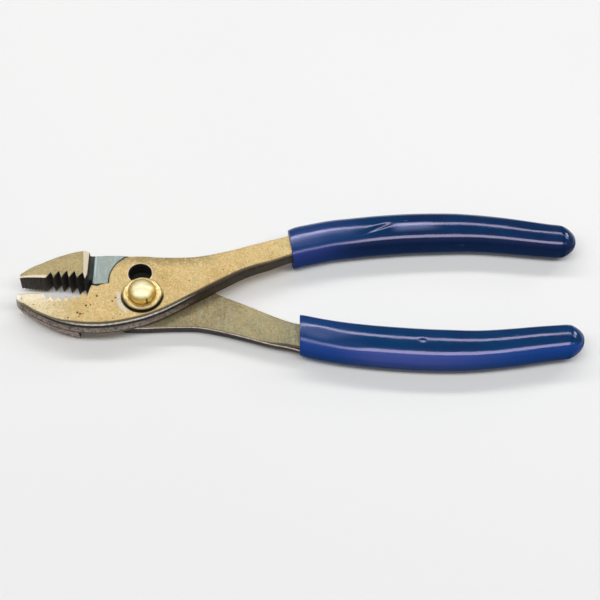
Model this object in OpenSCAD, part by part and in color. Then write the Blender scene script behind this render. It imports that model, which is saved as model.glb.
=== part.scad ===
// Slip joint pliers with sleeved handles, lying flat with the jaws to the left.
// The pivot axis is the Z axis, and the back of the nut rests on the plane Z = 0.
// The front half carries the lower jaw, the upper handle and the two-hole slot.
// The rear half carries the upper jaw and the lower handle, and holds the pivot pin.

/* [Forged halves] */
// Pivot axis to the tip of the lower jaw
jaw_reach = 45; // [40:0.2:60]
// How much shorter the upper jaw is
upper_short = 0.4; // [0:0.2:3]
// Pivot axis to the mouth of the lower handle's sleeve
grip_start = 55.7; // [53.5:0.2:70]
// How much nearer the pivot the upper handle's sleeve starts
upper_early = 3.4; // [0:0.2:5]
// Pivot axis to the end of the longer, upper handle
handle_reach = 156.6; // [140:0.2:220]
// How much shorter the lower handle is
lower_short = 0.9; // [0:0.1:6]
// Distance between the handles' centre lines where they bow out most
handle_spread = 51.2; // [48:0.2:60]
// Width of a half across the pivot
joint_w = 30; // [29:0.5:34]
// Radius of the round boss beside the pivot
boss_r = 11.8; // [11.6:0.1:13]
// Thickness of the joint, both plates together
joint_t = 11; // [9:0.5:11.5]
// Thickness of the jaws at their tips
tip_t = 6.2; // [4:0.2:8]
// Pivot axis to where the halves stop lapping
lap_reach = 41.2; // [39.2:0.2:45]
// Thickness of a neck between its outer face and the middle, where its sleeve starts
neck_t = 3.95; // [3.6:0.05:5]
// How far a neck has come past the middle where its sleeve starts
neck_drop = 1.2; // [0.4:0.1:2]
// Forging draft: how far a side leans in from the parting line to the face
draft = 1.2; // [0.4:0.1:1.6]
// Narrow bevel round the faces
edge_bevel = 0.5; // [0.2:0.1:0.8]
// Opening between the jaws, in degrees from closed
open_angle = 9; // [0:1:40]

/* [Jaws] */
// Length of the flat nose at the tips
nose_len = 9.4; // [6:0.1:12]
// Pitch of the fine serrations on the nose
nose_pitch = 1.1; // [0.8:0.1:2]
// Depth of the fine serrations
nose_groove = 0.3; // [0.1:0.05:0.5]
// Pitch of the pipe teeth
tooth_pitch = 2.85; // [2.4:0.05:3]
// Depth of the pipe teeth
tooth_depth = 2.4; // [1:0.1:3]
// How far each row of teeth is hollowed for round stock
lower_hollow = 1.3; // [0:0.1:1.6]
upper_hollow = 0.2; // [0:0.1:1.6]
// Width of the bevel down the heel of the upper jaw, at its top
heel_bevel = 2.3; // [0.5:0.1:2.5]

/* [Slip joint] */
// Diameter of the pivot pin's shank
pin_d = 8.2; // [7:0.1:8.8]
// Width across the pin's two flats
pin_flats = 6.4; // [6.2:0.1:6.8]
// Distance between the two holes of the slot
slot_pitch = 9.6; // [9:0.1:10]
// Lean of the slot towards the jaws, in degrees
slot_lean = 7.8; // [0:0.2:9]
// Running clearance round the pin, on the radius
pin_clear = 0.1; // [0.05:0.01:0.1]
// Gap between the two plates, and under the washer
lap_gap = 0.1; // [0.05:0.01:0.2]
// Diameter of the washer under the pin's head
washer_d = 14; // [12:0.1:15]
// Thickness of the washer
washer_t = 1.3; // [0.8:0.1:2]
// Diameter of the pin's domed head
head_d = 9.6; // [9.2:0.1:11]
// Height of the domed head
head_h = 4; // [2:0.1:5]
// Diameter of the pin's threaded end
thread_d = 6; // [4:0.1:6]
// Width of the nut across its flats
nut_w = 11; // [9:0.5:12]
// Thickness of the nut
nut_t = 2.8; // [2:0.1:3.2]

/* [Handles] */
// Width of the tang inside a sleeve, near its mouth
tang_w = 10.8; // [8:0.2:11]
// Width of the tang at its end
tang_end_w = 6.6; // [5:0.2:8]
// Thickness of the tang
tang_t = 7.2; // [5:0.2:8]
// How far a tang lies below its sleeve's centre line
tang_offset = 0.9; // [0:0.1:1]
// Gap between a tang and its sleeve
sleeve_gap = 0.1; // [0.05:0.01:0.2]
// Width of a sleeve near its mouth
grip_w = 14.8; // [14:0.2:18]
// Thickness of a sleeve near its mouth
grip_t = 11.6; // [11:0.2:14]
// Width of a sleeve near its end
grip_end_w = 12; // [10:0.2:14]
// Thickness of a sleeve near its end
grip_end_t = 10; // [9:0.2:12]
// Plastic past the end of the tang
grip_cap = 6; // [4:0.5:10]
// Length of a sleeve's rounded end
grip_nose = 7; // [5:0.5:10]

/* [Hidden] */

// The tables below are drawn with the jaws open by this many degrees
drawn_angle = 9;
// The middle plane, where the halves lap, lies this far above the resting plane
mid_z = grip_t / 2;
// Overrun of every cut
over = 5;
// Half height of the parting land along a side, and the land's height above the middle
land_h = 0.25;
part_z = lap_gap / 2 + 2 * land_h;
// Ring spacing along the head, the neck and the tangs
head_step = 1.6;
neck_step = 2.4;
tang_step = 6;
// Faces of the plates on the middle plane
lap_face = lap_gap / 2;
half_t = joint_t / 2;
$fn = 64;

// Parting lines of the two halves, as shares of jaw_reach left of the pivot, of grip_start
// right of it, and of joint_w in height
front_top_shares = [[-1, 0.6], [-0.28, 0.6], [-0.112, 0.613], [-0.018, 0.617], [0.104, 0.6],
    [0.296, 0.603], [0.396, 0.63], [0.474, 0.665], [0.578, 0.722], [0.678, 0.79], [0.806, 0.872]];
front_low_shares = [[-1, -0.03], [-0.973, -0.077], [-0.919, -0.13], [-0.858, -0.2], [-0.778, -0.27],
    [-0.707, -0.327], [-0.636, -0.37], [-0.556, -0.403], [-0.5, -0.42], [-0.387, -0.433],
    [-0.276, -0.427], [-0.142, -0.393], [0.002, -0.333], [0.065, -0.287], [0.146, -0.213],
    [0.228, -0.12], [0.296, -0.037], [0.413, 0.097], [0.519, 0.22], [0.618, 0.334], [0.7, 0.408],
    [0.809, 0.485]];
rear_top_shares = [[-1, 0.393], [-0.984, 0.403], [-0.919, 0.475], [-0.827, 0.544], [-0.714, 0.624],
    [-0.609, 0.676], [-0.467, 0.713], [-0.418, 0.708], [-0.285, 0.716], [-0.15, 0.706], [0.002, 0.646],
    [0.146, 0.512], [0.296, 0.34], [0.413, 0.213], [0.501, 0.12], [0.618, 0.02], [0.718, -0.07],
    [0.809, -0.15]];
rear_low_shares = [[-1, -0.34], [0.006, -0.34], [0.116, -0.33], [0.259, -0.323], [0.361, -0.33],
    [0.489, -0.38], [0.61, -0.443], [0.693, -0.49], [0.809, -0.56]];
// Centre lines of the sleeves, as shares of handle_reach and handle_spread
upper_handle_shares = [[0.332, 0.469], [0.355, 0.496], [0.377, 0.514], [0.427, 0.55], [0.478, 0.571],
    [0.536, 0.593], [0.612, 0.612], [0.682, 0.619], [0.752, 0.617], [0.828, 0.596], [0.898, 0.566],
    [0.949, 0.545], [1, 0.538]];
lower_handle_shares = [[0.332, -0.236], [0.355, -0.259], [0.377, -0.279], [0.427, -0.313],
    [0.478, -0.338], [0.536, -0.359], [0.612, -0.379], [0.682, -0.388], [0.752, -0.387], [0.828, -0.366],
    [0.898, -0.337], [0.949, -0.319], [1, -0.303]];
// How the jaws thicken from the tip to the heel, as shares of jaw_reach and of the full step
jaw_swell_shares = [[-1, 0], [-0.908, 0.29], [-0.774, 0.46], [-0.64, 0.69], [-0.548, 0.93], [-0.477, 1]];
// How a sleeve narrows from its mouth to its end, as shares of its length and of the full step
grip_taper_shares = [[0, 0], [0.41, 0], [0.53, 0.1], [0.65, 0.37], [0.77, 0.58], [0.9, 0.92], [1, 1.05]];
// Edges of the mouths, as shares of jaw_reach and joint_w
lower_nose_shares = [0.07, 0.065];
upper_nose_shares = [0.3, 0.282];
lower_back_share = 0.045;
upper_back_share = 0.243;
lower_throat_shares = [[-0.409, 0.153], [-0.36, 0.137], [-0.336, 0.16], [-0.268, 0.19]];
upper_throat_shares = [[-0.447, 0.353], [-0.434, 0.365], [-0.421, 0.287], [-0.413, 0.14],
    [-0.275, 0.087]];
// Heels of the jaws, where the full thickness ends: top and bottom of each wall
lower_heel_shares = [[-0.469, 0.3], [-0.495, -0.5]];
upper_heel_shares = [[-0.451, 0.8], [-0.451, 0.1]];
// Width of the heel's bevel at the bottom, as a share of its width at the top
heel_low_share = 0.3;
// Centres of the two bosses, as shares of jaw_reach and joint_w
front_boss_shares = [-0.018, 0.223];
rear_boss_shares = [-0.018, 0.053];
// Angles of the ends of the bosses' arcs, in degrees
front_boss_end = 166;
rear_boss_end = 194;
// Fine serrations: half the width of a groove, as a share of the pitch
groove_share = 0.35;
// Pipe teeth: where the deepest point of a notch lies along its pitch, and how the depth of
// the notches changes along the row, as shares of the row and of tooth_depth
notch_share = 0.64;
lower_notch_shares = [[0, 0.85], [0.2, 1], [0.8, 1], [1, 0.6]];
upper_notch_shares = [[0, 1], [0.2, 1.27], [0.4, 1.33], [0.6, 1.25], [0.8, 1.08], [1, 1]];
// The lip of a sleeve: distances from its mouth as shares of grip_t, and shares of the section
lip_shares = [[0, 0.93], [0.02, 0.98], [0.07, 1], [0.3, 1]];
// The rounded end of a sleeve, as shares of grip_nose and of the section
nose_end_shares = [[0.17, 0.99], [0.33, 0.95], [0.5, 0.86], [0.66, 0.73], [0.8, 0.58], [0.89, 0.45],
    [0.95, 0.32], [0.985, 0.18], [1, 0.03]];
// Lean of the upper sleeve's mouth
mouth_lean_share = 0.15;
// How much a tang or an inner face has thinned or come down at these shares of its length
tang_full_share = 1.4;
tang_end_share = 0.9;
// How square a sleeve's section is: 1 makes an ellipse
square_share = 0.75;
// Upright rim of the pin's head and bevel of the washer, as shares of their heights
rim_share = 0.52;
washer_bevel_share = 0.35;

// Number of the piece of a table that holds x
function piece(t, x, i = 0) = i >= len(t) - 2 || x < t[i + 1][0] ? i : piece(t, x, i + 1);
// Slope of a table at point i, taken across its neighbours
function slope(t, i) =
    let (a = max(i - 1, 0), b = min(i + 1, len(t) - 1))
    (t[b][1] - t[a][1]) / (t[b][0] - t[a][0]);
// Smooth curve through a table of points, held level past its ends
function curve(t, x_in) =
    let (
        x = min(max(x_in, t[0][0]), t[len(t) - 1][0]),
        i = piece(t, x),
        run = t[i + 1][0] - t[i][0],
        s = (x - t[i][0]) / run
    )
    (2 * s ^ 3 - 3 * s ^ 2 + 1) * t[i][1] + (s ^ 3 - 2 * s ^ 2 + s) * run * slope(t, i)
    + (3 * s ^ 2 - 2 * s ^ 3) * t[i + 1][1] + (s ^ 3 - s ^ 2) * run * slope(t, i + 1);
// Straight lines through a table of points
function ramp(t, x) =
    let (i = piece(t, x), s = (x - t[i][0]) / (t[i + 1][0] - t[i][0]))
    t[i][1] + min(max(s, 0), 1) * (t[i + 1][1] - t[i][1]);

// Head outlines and handle lines in millimetres
function head_mm(shares) =
    [for (p = shares) [p[0] * (p[0] < 0 ? jaw_reach : grip_start), p[1] * joint_w]];
function handle_mm(shares) = [for (p = shares) [p[0] * handle_reach, p[1] * handle_spread]];
upper_handle = handle_mm(upper_handle_shares);
lower_handle = handle_mm(lower_handle_shares);

// Width of a tang at x, for a handle that ends at reach
function tang_width(x, reach) = ramp([[grip_start, tang_w], [reach - grip_cap, tang_end_w]], x);

// Parting lines of a whole half: the head, then the tang round its handle's centre line
function parting(shares, handle, reach, side) =
    let (head = head_mm(shares), last = head[len(head) - 1][0])
    concat(head, [for (p = handle) if (p[0] > last + over)
        [p[0], p[1] - tang_offset + side * tang_width(p[0], reach) / 2]]);

// Height of the outer face above the middle plane
outer_face = concat(
    [for (p = jaw_swell_shares) [p[0] * jaw_reach, tip_t / 2 + p[1] * (joint_t - tip_t) / 2]],
    [[0, half_t], [washer_d, half_t], [grip_start / 2, half_t], [grip_start, neck_t],
    [grip_start * tang_full_share, tang_t / 2], [handle_reach, tang_t / 2 * tang_end_share]]);
// Height of the inner face past the lap, which comes down through the middle plane
inner_face = [[lap_reach, lap_face + land_h / 4], [grip_start, -neck_drop],
    [grip_start * tang_full_share, -tang_t / 2], [handle_reach, -tang_t / 2 * tang_end_share]];
function inner_z(x) =
    x < lap_reach - 2 * land_h ? -curve(outer_face, x) : curve(inner_face, x);

// One forged section across the tool at x, with the outer face up: twelve corners, or the
// same section grown all round by grow, for a sleeve's bore
function forged_ring(x, top, low, grow = 0) =
    let (
        zo = curve(outer_face, x),
        zi = inner_z(x),
        bevel_i = min(edge_bevel, (part_z - land_h - zi) / 2),
        in_o = draft * (zo - part_z) / half_t,
        in_i = draft * (part_z - zi) / half_t,
        side = [
            [in_i, zi + bevel_i - grow], [0, part_z - land_h], [0, part_z + land_h],
            [in_o, zo - edge_bevel + grow], [in_o + edge_bevel, zo + grow]
        ],
        foot = [in_i + bevel_i, zi - grow]
    )
    concat(
        [for (p = side) [x, top + grow - p[0], p[1]]],
        [for (i = [len(side) - 1:-1:0]) [x, low - grow + side[i][0], side[i][1]]],
        [[x, low - grow + foot[0], foot[1]], [x, top + grow - foot[0], foot[1]]]
    );

// Closed solid through a row of rings that turn anticlockwise seen from +X
module loft(rings) {
    n = len(rings[0]);
    last = (len(rings) - 1) * n;
    polyhedron(
        points = [for (r = rings) each r],
        faces = concat(
            [[for (i = [0:n - 1]) i]],
            [[for (i = [n - 1:-1:0]) last + i]],
            [for (j = [0:len(rings) - 2], i = [0:n - 1])
                let (a = j * n + i, b = j * n + (i + 1) % n)
                each [[a, a + n, b + n], [a, b + n, b]]]
        ),
        convexity = 8
    );
}

// Evenly spaced stations from a to b
function stations(a, b, step) =
    let (n = ceil((b - a) / step)) [for (i = [0:n]) a + (b - a) * i / n];
function tang_stations(reach) = concat(
    stations(lap_reach - 2 * land_h, grip_start, neck_step),
    [for (x = stations(grip_start, reach - grip_cap, tang_step)) if (x > grip_start) x]
);

// A half before its mouth, lap and holes are cut, with its outer face up
module blank(top_shares, low_shares, handle, tip, reach) {
    top = parting(top_shares, handle, reach, 1);
    low = parting(low_shares, handle, reach, -1);
    loft([for (x = concat(stations(-tip, lap_reach - 4 * land_h, head_step), tang_stations(reach)))
        forged_ring(x, curve(top, x), curve(low, x))]);
}

// Edge of one jaw from its tip to its last notch: fine serrations, then as many pipe teeth
// as fit before the heel. way is 1 where the teeth are cut upwards and -1 where downwards
function jaw_edge(tip, heel_x, nose_shares, back_share, way, hollow, notch_shares, last_notch) =
    let (
        nose_end = nose_len - tip,
        y0 = nose_shares[0] * joint_w,
        y1 = nose_shares[1] * joint_w,
        y2 = back_share * joint_w,
        grooves = floor(nose_len / nose_pitch - 1),
        teeth = max(1, floor((heel_x - nose_end) / tooth_pitch)),
        base = function (u) y1 + (y2 - y1) * u + way * hollow * sin(180 * u)
    )
    concat(
        [[-tip - over, y0], [-tip, y0]],
        [for (i = [1:grooves], k = [-0.5, 0, 0.5])
            let (x = (i + 2 * k * groove_share) * nose_pitch)
            [x - tip, y0 + (y1 - y0) * x / nose_len + (k == 0 ? way * nose_groove : 0)]],
        [for (i = [0:teeth])
            let (x = nose_end + i * tooth_pitch, v = min(1, (i + notch_share) / teeth))
            each concat(
                [[x, base(i / teeth)]],
                i < teeth || last_notch ?
                    [[x + notch_share * tooth_pitch,
                        base(v) + way * tooth_depth * curve(notch_shares, i / teeth)]]
                    : []
            )]
    );
function head_points(shares) = [for (p = shares) [p[0] * jaw_reach, p[1] * joint_w]];
function arc(centre, r, a0, a1, n) =
    [for (i = [0:n]) let (a = a0 + (a1 - a0) * i / n) centre + r * [cos(a), sin(a)]];

// Everything above the lower jaw's edge, the throat and the boss of the front half
module front_mouth() {
    heel_x = head_points(lower_heel_shares)[0][0];
    edge = jaw_edge(jaw_reach, heel_x, lower_nose_shares, lower_back_share, -1,
        lower_hollow, lower_notch_shares, true);
    boss = arc(head_points([front_boss_shares])[0], boss_r, front_boss_end, 90, 20);
    linear_extrude(joint_t + 2 * over, center = true)
        polygon(concat(edge, head_points(lower_throat_shares), boss,
            [[boss[len(boss) - 1][0], joint_w + over], [-jaw_reach - over, joint_w + over]]));
}

// Everything below the upper jaw's edge, the throat and the boss of the rear half
module rear_mouth() {
    heel_x = head_points(upper_heel_shares)[0][0];
    edge = jaw_edge(jaw_reach - upper_short, heel_x, upper_nose_shares, upper_back_share, 1,
        upper_hollow, upper_notch_shares, false);
    boss = arc(head_points([rear_boss_shares])[0], boss_r, rear_boss_end, 270, 20);
    linear_extrude(joint_t + 2 * over, center = true)
        polygon(concat(edge, head_points(upper_throat_shares), boss,
            [[boss[len(boss) - 1][0], -joint_w], [-jaw_reach - 2 * over, -joint_w]]));
}

// Room for the other half's plate, from the heel to the end of the lap, below the plane z
module lap_room(heel, z) {
    far = joint_w + over;
    translate([0, 0, z - joint_t])
        linear_extrude(joint_t)
            polygon([
                heel[0] + (heel[0] - heel[1]), heel[1] - (heel[0] - heel[1]),
                [lap_reach - land_h, -far], [lap_reach - land_h, far]
            ]);
}

// Direction of the slot, from the lower hole to the upper one
slot_way = [-sin(slot_lean), cos(slot_lean)];

// Shank of the pin: a round with two flats along the slot
module flatted(d, w, h) {
    rotate([0, 0, slot_lean])
        intersection() {
            cylinder(d = d, h = h);
            translate([-w / 2, -d, 0]) cube([w, 2 * d, h]);
        }
}

// Two holes joined by a waist that only the pin's flats can pass
module slip_slot() {
    r = pin_d / 2 + pin_clear;
    w = pin_flats + 2 * pin_clear;
    translate([0, 0, -over]) {
        cylinder(r = r, h = joint_t + over);
        translate([for (v = slot_way) v * slot_pitch]) cylinder(r = r, h = joint_t + over);
        rotate([0, 0, slot_lean]) translate([-w / 2, 0, 0]) cube([w, slot_pitch, joint_t + over]);
    }
}

// Bevel down the front edge of the upper jaw's heel, wider at the top
module heel_cut(heel) {
    low = heel[1] - [heel_bevel * heel_low_share, 0];
    run = heel[0] - [heel_bevel, 0] - low;
    translate([low[0], low[1], half_t])
        rotate([0, 0, atan2(run[1], run[0])])
            rotate([45, 0, 0])
                translate([-over, -over, 0]) cube([norm(run) + 2 * over, 2 * over, over]);
}

// The front half turns about the pivot with the opening
module at_opening() {
    translate([0, 0, mid_z]) rotate([0, 0, open_angle - drawn_angle]) children();
}
module at_rest() {
    translate([0, 0, mid_z]) children();
}

module front_half() {
    color("#cdb67c") at_opening() difference() {
        blank(front_top_shares, front_low_shares, upper_handle, jaw_reach, handle_reach);
        front_mouth();
        lap_room(head_points(lower_heel_shares), lap_face);
        slip_slot();
    }
}

module rear_half() {
    heel = head_points(upper_heel_shares);
    color("#a09a6c") at_rest() difference() {
        mirror([0, 0, 1])
            blank(rear_top_shares, rear_low_shares, lower_handle,
                jaw_reach - upper_short, handle_reach - lower_short);
        rear_mouth();
        mirror([0, 0, 1]) lap_room(heel, lap_face);
        heel_cut(heel);
        translate([0, 0, -joint_t]) flatted(pin_d + lap_gap, pin_flats + lap_gap, joint_t);
        translate([0, 0, -mid_z - over])
            cylinder(d = nut_w / cos(30) + 4 * pin_clear, h = nut_t + over);
    }
}

// Heights of the stack on the pin, from the middle plane
washer_z = half_t + lap_gap;
head_z = washer_z + washer_t + lap_gap / 2;
nut_top_z = nut_t - mid_z;

module pivot_pin() {
    // Radius of the dome over a head with a short upright rim
    rim = head_h * rim_share;
    cap = head_h - rim;
    dome_r = (head_d ^ 2 / 4 + cap ^ 2) / (2 * cap);
    color("#d9b43c") at_rest() {
        intersection() {
            translate([0, 0, head_z]) cylinder(d = head_d, h = head_h);
            translate([0, 0, head_z + head_h - dome_r]) sphere(r = dome_r);
        }
        translate([0, 0, nut_top_z]) flatted(pin_d, pin_flats, head_z - nut_top_z);
        translate([0, 0, -mid_z]) cylinder(d = thread_d, h = nut_t);
    }
}

module pivot_washer() {
    r = washer_d / 2;
    bevel = washer_t * washer_bevel_share;
    color("#d2bd80") at_rest() translate([0, 0, washer_z])
        rotate_extrude()
            polygon([
                [pin_d / 2 + pin_clear, 0], [r, 0], [r, washer_t - bevel], [r - bevel, washer_t],
                [pin_d / 2 + pin_clear, washer_t]
            ]);
}

module pivot_nut() {
    color("#b79a4e") at_rest() translate([0, 0, -mid_z])
        difference() {
            intersection() {
                cylinder(d = nut_w / cos(30), h = nut_t, $fn = 6);
                cylinder(d1 = nut_w, d2 = nut_w + 4 * nut_t, h = nut_t);
            }
            translate([0, 0, -over]) cylinder(d = thread_d + lap_gap, h = nut_t + 2 * over);
        }
}

// Sleeve sections: a rounded rectangle of width w and thickness t, with n corners
function sleeve_ring(x, y, w, t, lean, n = 28) =
    [for (i = [0:n - 1])
        let (
            a = 360 * i / n,
            u = sign(cos(a)) * abs(cos(a)) ^ square_share * w / 2,
            v = sign(sin(a)) * abs(sin(a)) ^ square_share * t / 2
        )
        [x - lean * u, y + u, v]];

// A dipped sleeve over the tang of one handle, with a rounded lip at its mouth and a closed end.
// The mouth leans by the share lean of its height
module sleeve(top_shares, low_shares, handle, start, reach, lean) {
    top = parting(top_shares, handle, reach, 1);
    low = parting(low_shares, handle, reach, -1);
    length = reach - start;
    body = concat(
        [for (p = lip_shares) [p[0] * grip_t, p[1]]],
        [for (d = stations(tang_step, length - grip_nose, tang_step)) [d, 1]],
        [for (p = nose_end_shares) [length - grip_nose * (1 - p[0]), p[1]]]
    );
    difference() {
        loft([for (b = body)
            let (
                x = start + b[0],
                k = curve(grip_taper_shares, b[0] / length),
                w = grip_w + (grip_end_w - grip_w) * k,
                t = grip_t + (grip_end_t - grip_t) * k,
                fade = max(0, 1 - b[0] / (start / 2))
            )
            sleeve_ring(x, curve(handle, x), w * b[1], t * b[1], lean * fade)]);
        loft([for (x = concat([for (x = tang_stations(reach)) if (x > start - over) x],
                [reach - grip_cap + sleeve_gap]))
            forged_ring(x, curve(top, x), curve(low, x), sleeve_gap)]);
    }
}

module upper_grip() {
    color("#2747b8") at_opening()
        sleeve(front_top_shares, front_low_shares, upper_handle,
            grip_start - upper_early, handle_reach, mouth_lean_share);
}

module lower_grip() {
    color("#2747b8") at_rest() mirror([0, 0, 1])
        sleeve(rear_top_shares, rear_low_shares, lower_handle, grip_start, handle_reach - lower_short, 0);
}

front_half();
rear_half();
pivot_pin();
pivot_washer();
pivot_nut();
upper_grip();
lower_grip();
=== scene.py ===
# Slip joint pliers: forged bronze halves, a polished pivot and glossy dipped sleeves.
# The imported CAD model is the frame. Everything is in metres, in its frame. Sizes written in
# millimetres are multiplied by MM where they enter a mesh or a shader.
import math
from collections import namedtuple

import bmesh
import bpy
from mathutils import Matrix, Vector, noise


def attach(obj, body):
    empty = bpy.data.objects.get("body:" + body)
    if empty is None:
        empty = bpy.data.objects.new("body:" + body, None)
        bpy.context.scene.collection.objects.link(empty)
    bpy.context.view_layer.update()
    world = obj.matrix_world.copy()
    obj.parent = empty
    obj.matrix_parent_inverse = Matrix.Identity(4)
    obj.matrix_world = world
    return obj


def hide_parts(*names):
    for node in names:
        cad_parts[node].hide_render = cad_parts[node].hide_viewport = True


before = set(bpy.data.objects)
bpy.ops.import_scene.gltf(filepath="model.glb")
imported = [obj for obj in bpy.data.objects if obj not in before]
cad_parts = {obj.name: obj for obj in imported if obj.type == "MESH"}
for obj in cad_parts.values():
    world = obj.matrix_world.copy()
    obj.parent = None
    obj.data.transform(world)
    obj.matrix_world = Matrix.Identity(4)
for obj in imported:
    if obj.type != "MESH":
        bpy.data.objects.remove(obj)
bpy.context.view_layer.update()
scene = bpy.context.scene

MM = 0.001

# Sizes that this file shares with the CAD source, in millimetres
MID_Z = 5.8          # middle plane, where the two halves lap
HALF_T = 5.5         # from the middle plane to the outer face of a plate
LAP_GAP = 0.1
PIN_D, PIN_FLATS = 8.2, 6.4
SLOT_PITCH, SLOT_LEAN = 9.6, math.radians(7.8)
UPPER_HOLE = (-SLOT_PITCH * math.sin(SLOT_LEAN), SLOT_PITCH * math.cos(SLOT_LEAN))
LOWER_HOLE = (0, 0)
WASHER_D, WASHER_T = 14.0, 1.3
HEAD_D, HEAD_H, HEAD_RIM = 9.6, 4.0, 0.52
BOSS, BOSS_R = (-0.8, 6.7), 11.8
THREAD_D, NUT_T = 6.0, 2.8
GRIP_W, GRIP_T = 14.8, 11.6
GRIP_END_W, GRIP_END_T = 12.0, 10.0
GRIP_NOSE = 7.0
HANDLE_REACH, HANDLE_SPREAD = 156.6, 51.2
UPPER_MOUTH, LOWER_MOUTH = 52.3, 55.7
LOWER_END = 155.7
# Centre lines of the sleeves, as shares of HANDLE_REACH and HANDLE_SPREAD
UPPER_LINE = [(0.332, 0.469), (0.355, 0.496), (0.377, 0.514), (0.427, 0.55), (0.478, 0.571),
              (0.536, 0.593), (0.612, 0.612), (0.682, 0.619), (0.752, 0.617), (0.828, 0.596),
              (0.898, 0.566), (0.949, 0.545), (1, 0.538)]
LOWER_LINE = [(0.332, -0.236), (0.355, -0.259), (0.377, -0.279), (0.427, -0.313), (0.478, -0.338),
              (0.536, -0.359), (0.612, -0.379), (0.682, -0.388), (0.752, -0.387), (0.828, -0.366),
              (0.898, -0.337), (0.949, -0.319), (1, -0.303)]
# The rounded end of a sleeve, as shares of GRIP_NOSE and of the section
NOSE_END = [(0, 1), (0.17, 0.99), (0.33, 0.95), (0.5, 0.86), (0.66, 0.73), (0.8, 0.58), (0.89, 0.45),
            (0.95, 0.32), (0.985, 0.18), (1, 0.03)]
# Taper of a sleeve, as shares of its length and of the step from the full to the end section
TAPER = [(0, 0), (0.41, 0), (0.53, 0.1), (0.65, 0.37), (0.77, 0.58), (0.9, 0.92), (1, 1.05)]

ELEVATION = 55       # degrees above the horizon: the photo's camera

# Colours of dirt and wear, and of painted shade, painted highlight and painted sheen
GREASE_AND_SHADE = (0.012, 0.01, 0.008)
PIT_SHADE = (0.05, 0.035, 0.022)
EDGE_SHADE = (0.1, 0.08, 0.055)
BEVEL_HIGHLIGHT = (0.88, 0.74, 0.54)
FLASH_FADED = (0.1, 0.085, 0.065)
SCALE_PATCH = (0.05, 0.04, 0.032)
RUST = (0.16, 0.1, 0.07)
MOUTH_SHADE = (0.05, 0.04, 0.03)
HEEL_WALL_SHADE = (0.03, 0.036, 0.04)
NICK = (0.1, 0.06, 0.02)
SCAR = (0.1, 0.07, 0.01)
BRASS_HOLLOW = (0.05, 0.035, 0.02)
BRASS_SIDE_SHADE = (0.022, 0.017, 0.011)
VINYL_SHEEN = (0.24, 0.28, 0.52)
VINYL_SCUFF = (0.14, 0.2, 0.45)


# ---- shader graphs

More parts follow.
